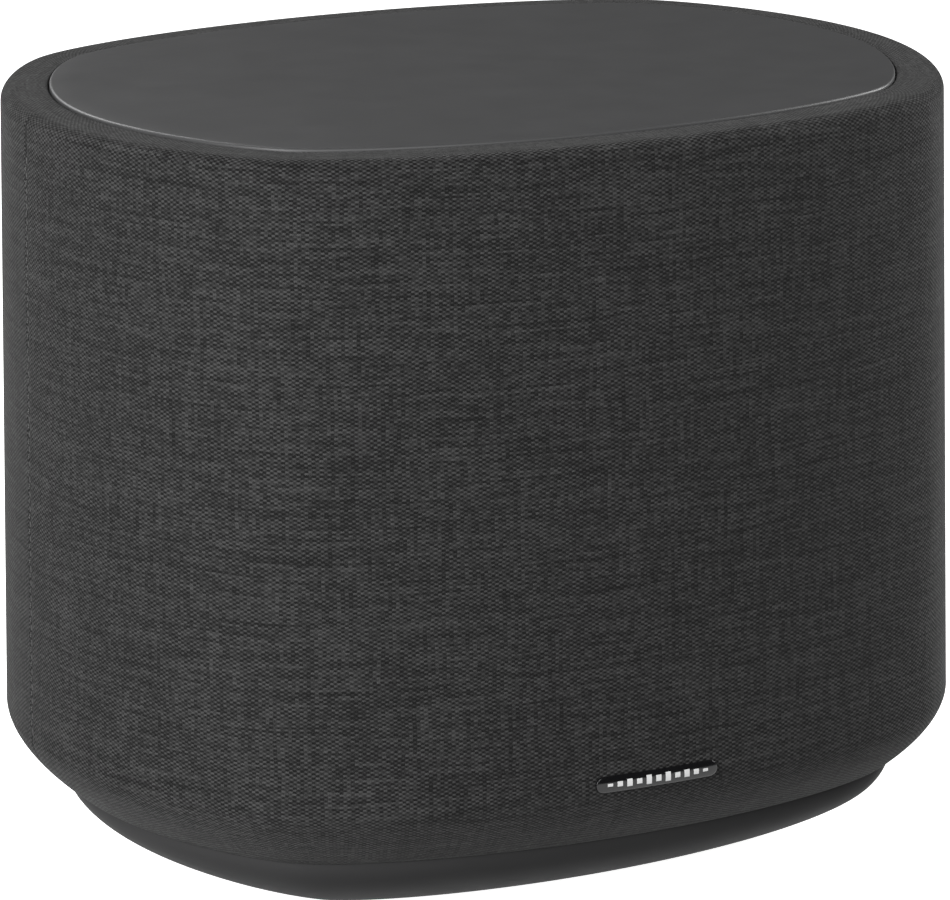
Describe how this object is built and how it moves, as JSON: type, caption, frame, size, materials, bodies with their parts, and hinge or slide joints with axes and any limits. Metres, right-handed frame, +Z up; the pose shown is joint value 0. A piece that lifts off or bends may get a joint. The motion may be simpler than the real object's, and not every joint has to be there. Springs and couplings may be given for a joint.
{
  "type": "wireless subwoofer",
  "caption": "Fabric-wrapped wireless subwoofer: rounded oblong body with a flush top plate, light badge, narrow moulded base and a woofer that fires down.",
  "frame": {"origin": "centre of the footprint, on the floor under the feet", "axes": "+Z up, -Y out of the front with the badge, +X to the right seen from the front"},
  "size_m": [0.346, 0.2832, 0.282],
  "materials": {
    "sleeve_fabric": "woven melange, charcoal",
    "shell_plastic": "moulded, fine texture",
    "plate_plastic": "fine matt texture",
    "base_plastic": "smooth satin",
    "black_gloss": "polished",
    "light_bar": "frosted white",
    "panel_plastic": "fine texture",
    "foam_tape": "double-sided tape",
    "black_rubber": "matt",
    "fibreboard": "raw fibreboard",
    "screw_steel": "zinc plated",
    "basket_steel": "powder coated",
    "plated_steel": "zinc plated",
    "ferrite": "sintered",
    "cone_paper": "pressed pulp",
    "coil_former": "resin film",
    "copper": "enamelled wire",
    "spider_cloth": "resin-treated cotton",
    "brass": "plain",
    "white_plastic": "plain",
    "clear_lens": "frosted",
    "dark_plastic": "plain",
    "board_green": "solder mask",
    "bare_aluminium": "mill finish",
    "capacitor_sleeve": "shrink sleeve",
    "yellow_tape": "winding tape",
    "choke_core": "coated core",
    "lead_black": "insulation",
    "lead_red": "insulation",
    "lead_grey": "insulation",
    "wadding": "polyester fleece"
  },
  "bodies": {
    "cabinet": {"fabric_sleeve": "sleeve_fabric", "cabinet_shell": "shell_plastic", "top_plate": "plate_plastic", "top_plate_adhesive": "foam_tape", "hem_strip": "shell_plastic", "badge_body": "black_gloss", "badge_bars": "light_bar", "base_shell": "base_plastic", "bottom_cover": "panel_plastic", "cover_screws": "screw_steel", "base_screws": "screw_steel", "rubber_feet": "black_rubber", "woofer_baffle": "fibreboard", "baffle_gasket": "black_rubber", "baffle_screws": "screw_steel", "woofer_basket": "basket_steel", "woofer_gasket": "black_rubber", "woofer_screws": "screw_steel", "surround": "black_rubber", "spider": "spider_cloth", "front_pole_plate": "plated_steel", "ferrite_magnet": "ferrite", "yoke": "plated_steel", "terminal_strip": "brass", "rear_bezel": "panel_plastic", "rear_panel": "panel_plastic", "panel_screws": "screw_steel", "mains_inlet": "black_gloss", "inlet_pins": "brass", "tact_switch": "dark_plastic", "status_lens": "clear_lens", "status_led": "white_plastic", "service_port": "plated_steel", "control_board": "board_green", "control_board_screws": "screw_steel", "amp_chassis": "bare_aluminium", "chassis_screws": "screw_steel", "board_standoffs": "brass", "board_screws": "screw_steel", "amplifier_board": "board_green", "amp_heatsink": "bare_aluminium", "output_chokes": "copper", "supply_board": "board_green", "supply_transformer": "yellow_tape", "bulk_capacitors": "capacitor_sleeve", "line_filter": "choke_core", "wireless_module": "plated_steel", "antenna": "dark_plastic", "mains_lead": "lead_black", "woofer_lead": "lead_red", "control_lead": "lead_grey", "wadding_pad": "wadding"},
    "connect_button": {"connect_button": "dark_plastic", "switch_plunger": "white_plastic"},
    "woofer_cone": {"cone": "cone_paper", "dust_cap": "cone_paper", "coil_former": "coil_former", "coil_winding": "copper"}
  },
  "joints": [
    {"name": "button_press", "type": "slide", "parent": "cabinet", "child": "connect_button", "axis": [0, -1, 0], "range_m": [0, 0.0008], "stiffness_N_per_m": 900, "springref_m": -0.0004},
    {"name": "cone_stroke", "type": "slide", "parent": "cabinet", "child": "woofer_cone", "axis": [0, 0, 1], "range_m": [-0.008, 0.008], "stiffness_N_per_m": 3000, "deforming": ["surround", "spider"]}
  ]
}
